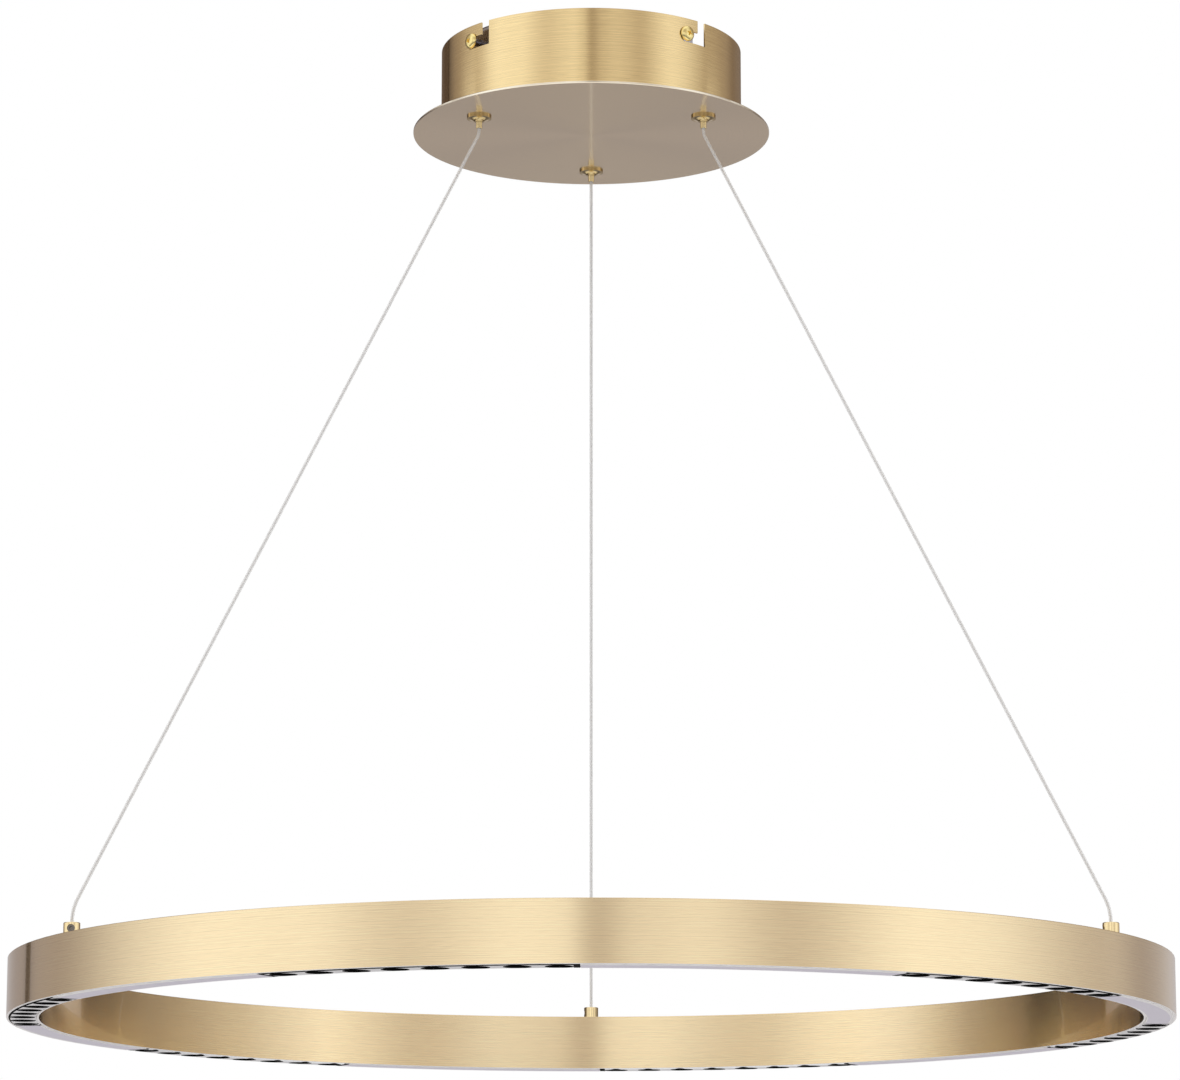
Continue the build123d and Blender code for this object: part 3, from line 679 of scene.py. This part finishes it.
# Studio flats: an upright board beside each end of the ring, running back and outward from it.
# Only reflections show them, from their inner side, and they get darker with distance.
flat_start = (0.39, -0.08)           # sideways, and away from the viewer
flat_line = (0.6, 0.8)
flat_near = 0.08                     # how far along its line a flat starts
flat_far = 30.0                      # and ends
flat_bottom = -2.5
flat_top_near = 0.05
flat_top_far = 5.5
flat_corners = (
    (flat_near, flat_bottom), (flat_far, flat_bottom), (flat_far, flat_top_far), (flat_near, flat_top_near))
flat_shades = {                      # a flat's brightness at each distance along it
    "left": (
        (0.08, 1.03), (0.12, 1.01), (0.18, 0.98), (0.24, 0.84), (0.31, 0.66), (0.40, 0.48),
        (0.51, 0.34), (0.61, 0.26), (0.73, 0.205), (0.84, 0.165), (1.0, 0.13), (1.02, 0.0),
        (1.65, 0.0), (1.75, 0.06), (2.5, 0.08), (30.0, 0.11)),
    "right": (
        (0.08, 0.98), (0.13, 0.91), (0.19, 0.82), (0.25, 0.75), (0.32, 0.60), (0.41, 0.54),
        (0.52, 0.46), (0.67, 0.355), (0.81, 0.31), (1.01, 0.28), (1.19, 0.24), (1.43, 0.185),
        (1.79, 0.15), (2.36, 0.125), (3.44, 0.105), (6.4, 0.08), (30.0, 0.065)),
}
flat_fall = (1.0, 1.12, 1.25)        # how much faster green and blue fall off in the shade
flat_haze = (0.0, 0.008, 0.026)      # what the shade keeps of them
for side_name, across in (("left", -1.0), ("right", 1.0)):
    start = Vector((flat_start[0] * across, flat_start[1], 0.0))
    away = Vector((flat_line[0] * across, flat_line[1], 0.0))
    mesh = bmesh.new()
    corners = [mesh.verts.new(start + away * run + Vector((0, 0, level)))
               for run, level in flat_corners]
    mesh.faces.new(corners if across < 0 else corners[::-1])
    flat = mesh_object(f"studio_flat_{side_name}", mesh)
    paint, nodes, links, shader = new_finish(f"flat_{side_name}")
    shader.inputs["Base Color"].default_value = (0.0, 0.0, 0.0, 1.0)
    shader.inputs["Specular IOR Level"].default_value = 0.0
    shader.inputs["Emission Strength"].default_value = 1.0
    place = nodes.new("ShaderNodeTexCoord")
    on_plan = nodes.new("ShaderNodeVectorMath")
    on_plan.operation = "MULTIPLY"
    on_plan.inputs[1].default_value = (1.0, 1.0, 0.0)
    links.new(place.outputs["Object"], on_plan.inputs[0])
    reach = nodes.new("ShaderNodeVectorMath")
    reach.operation = "DISTANCE"
    reach.inputs[1].default_value = start
    links.new(on_plan.outputs[0], reach.inputs[0])
    share = nodes.new("ShaderNodeMapRange")
    share.inputs["From Min"].default_value = flat_near
    share.inputs["From Max"].default_value = flat_far
    links.new(reach.outputs["Value"], share.inputs["Value"])
    shade = nodes.new("ShaderNodeValToRGB")
    stops = shade.color_ramp.elements
    for index, (distance, brightness) in enumerate(flat_shades[side_name]):
        position = (distance - flat_near) / (flat_far - flat_near)
        stop = stops[index] if index < 2 else stops.new(position)
        stop.position = position
        colour = (brightness ** fall + haze for fall, haze in zip(flat_fall, flat_haze))
        stop.color = (*colour, 1.0)
    links.new(share.outputs[0], shade.inputs["Fac"])
    links.new(shade.outputs["Color"], shader.inputs["Emission Color"])
    side = nodes.new("ShaderNodeNewGeometry")
    front = nodes.new("ShaderNodeMath")
    front.operation = "SUBTRACT"
    front.inputs[0].default_value = 1.0
    links.new(side.outputs["Backfacing"], front.inputs[1])
    links.new(front.outputs[0], shader.inputs["Alpha"])
    flat.data.materials.append(paint)
    flat.visible_camera = flat.visible_diffuse = False
    flat.visible_shadow = flat.visible_transmission = False


# Surround: white paper behind the fixture, and soft panels of light all round the set.
# The brushed metal shows the bright and dark panels as upright streaks, and one stand as a dark line.
low_panels = (                       # bearing in degrees from the viewer's side, brightness
    (-180, 0.58), (-150, 0.34), (-128, 0.38), (-80, 1.06), (-57, 1.02), (-36, 0.77),
    (-13, 1.10), (-5, 1.12), (1, 0.66), (9, 0.96), (20, 1.04), (38, 0.70),
    (66, 1.10), (76, 1.08), (118, 0.58), (135, 0.40), (160, 0.52), (180, 0.58))
high_panels = (
    (-180, 0.19), (-151, 0.08), (-125, 0.33), (-100, 0.52), (-76, 1.04), (-58, 1.0), (-33, 0.74),
    (-20, 0.78), (-13, 0.82), (-7, 0.66), (0, 0.34), (8, 0.53), (17, 0.62), (29, 0.585),
    (36, 0.54), (64, 0.90), (105, 0.36), (125, 0.33), (141, 0.22), (180, 0.19))
low_warmth = (1.0, 1.12, 1.15)       # how much faster green and blue fall off in the shade
high_warmth = (1.0, 1.18, 1.35)
stand_bearing = math.radians(-142.6)
stand_half_width = math.radians(1.7)
stand_colour = (0.035, 0.022, 0.015)
below_colour = (0.17, 0.165, 0.18)
ceiling_colour = (1.0, 1.0, 1.0)
table_colour = (1.08, 1.08, 1.08)
table_band = (-0.75, -0.55)          # straight down is -1, level is 0, straight up is 1
below_band = (-0.50, -0.05)
panel_band = (0.17, 0.24)            # from the low panels to the high ones
ceiling_band = (0.72, 0.90)
world = bpy.data.worlds.new("studio")
bpy.context.scene.world = world
world.use_nodes = True
nodes, links = world.node_tree.nodes, world.node_tree.links
sky = nodes["Background"]
toward = nodes.new("ShaderNodeTexCoord")
apart = nodes.new("ShaderNodeSeparateXYZ")
links.new(toward.outputs["Generated"], apart.inputs[0])
back = nodes.new("ShaderNodeMath")
back.operation = "MULTIPLY"
back.inputs[1].default_value = -1.0
links.new(apart.outputs["Y"], back.inputs[0])
bearing = nodes.new("ShaderNodeMath")
bearing.operation = "ARCTAN2"
links.new(apart.outputs["X"], bearing.inputs[0])
links.new(back.outputs[0], bearing.inputs[1])
turn_share = nodes.new("ShaderNodeMapRange")
turn_share.inputs["From Min"].default_value = -math.pi
turn_share.inputs["From Max"].default_value = math.pi
links.new(bearing.outputs[0], turn_share.inputs["Value"])


def light_panels(levels, warmth):
    """The soft panels round the set, by bearing."""
    ramp = nodes.new("ShaderNodeValToRGB")
    ramp.color_ramp.interpolation = "EASE"
    ends = ramp.color_ramp.elements
    for index, (bearing_deg, level) in enumerate(levels):
        share = (bearing_deg + 180.0) / 360.0
        stop = ends[index] if index < 2 else ends.new(share)
        stop.position = share
        stop.color = (*(level ** fall for fall in warmth), 1.0)
    links.new(turn_share.outputs[0], ramp.inputs["Fac"])
    return ramp


low = light_panels(low_panels, low_warmth)
high = light_panels(high_panels, high_warmth)


def by_height(band, lower, upper):
    """One light below a band of heights, another above it."""
    share = nodes.new("ShaderNodeMapRange")
    share.inputs["From Min"].default_value, share.inputs["From Max"].default_value = band
    links.new(apart.outputs["Z"], share.inputs["Value"])
    mix = nodes.new("ShaderNodeMix")
    mix.data_type = "RGBA"
    links.new(share.outputs[0], mix.inputs["Factor"])
    for socket, light in ((mix.inputs["A"], lower), (mix.inputs["B"], upper)):
        if isinstance(light, bpy.types.NodeSocket):
            links.new(light, socket)
        else:
            socket.default_value = (*light, 1.0)
    return mix.outputs["Result"]


stand = nodes.new("ShaderNodeMath")
stand.operation = "COMPARE"
stand.inputs[1].default_value = stand_bearing
stand.inputs[2].default_value = stand_half_width
links.new(bearing.outputs[0], stand.inputs[0])
walls = by_height(panel_band, low.outputs["Color"], high.outputs["Color"])
walls = by_height(below_band, below_colour, walls)
shaded = nodes.new("ShaderNodeMix")
shaded.data_type = "RGBA"
shaded.inputs["B"].default_value = (*stand_colour, 1.0)
links.new(stand.outputs[0], shaded.inputs["Factor"])
links.new(walls, shaded.inputs["A"])
walls = by_height(ceiling_band, shaded.outputs["Result"], ceiling_colour)
walls = by_height(table_band, table_colour, walls)
path_kind = nodes.new("ShaderNodeLightPath")
seen = nodes.new("ShaderNodeMath")
seen.operation = "MAXIMUM"
links.new(path_kind.outputs["Is Camera Ray"], seen.inputs[0])
links.new(path_kind.outputs["Is Transmission Ray"], seen.inputs[1])
surround = nodes.new("ShaderNodeMix")
surround.data_type = "RGBA"
surround.inputs["B"].default_value = (1.0, 1.0, 1.0, 1.0)
links.new(seen.outputs[0], surround.inputs["Factor"])
links.new(walls, surround.inputs["A"])
links.new(surround.outputs["Result"], sky.inputs["Color"])
sky.inputs["Strength"].default_value = 1.0


# Camera: a long lens on the viewer's side, below the ring and tilted up a little.
# Its place, tilt and lens were fitted to the outlines of the ring, the plate and the drum.
tilt_up = math.radians(90.0 + 11.36)
eye = bpy.data.cameras.new("eye")
eye.lens = 136.45
eye.sensor_width = 36.0
eye.sensor_fit = "HORIZONTAL"
camera = bpy.data.objects.new("camera", eye)
camera.location = (-0.0009, -3.087, -0.977)
camera.rotation_euler = (tilt_up, 0.0, 0.0)
bpy.context.scene.collection.objects.link(camera)
bpy.context.scene.camera = camera
bpy.context.scene.view_settings.view_transform = "Standard"
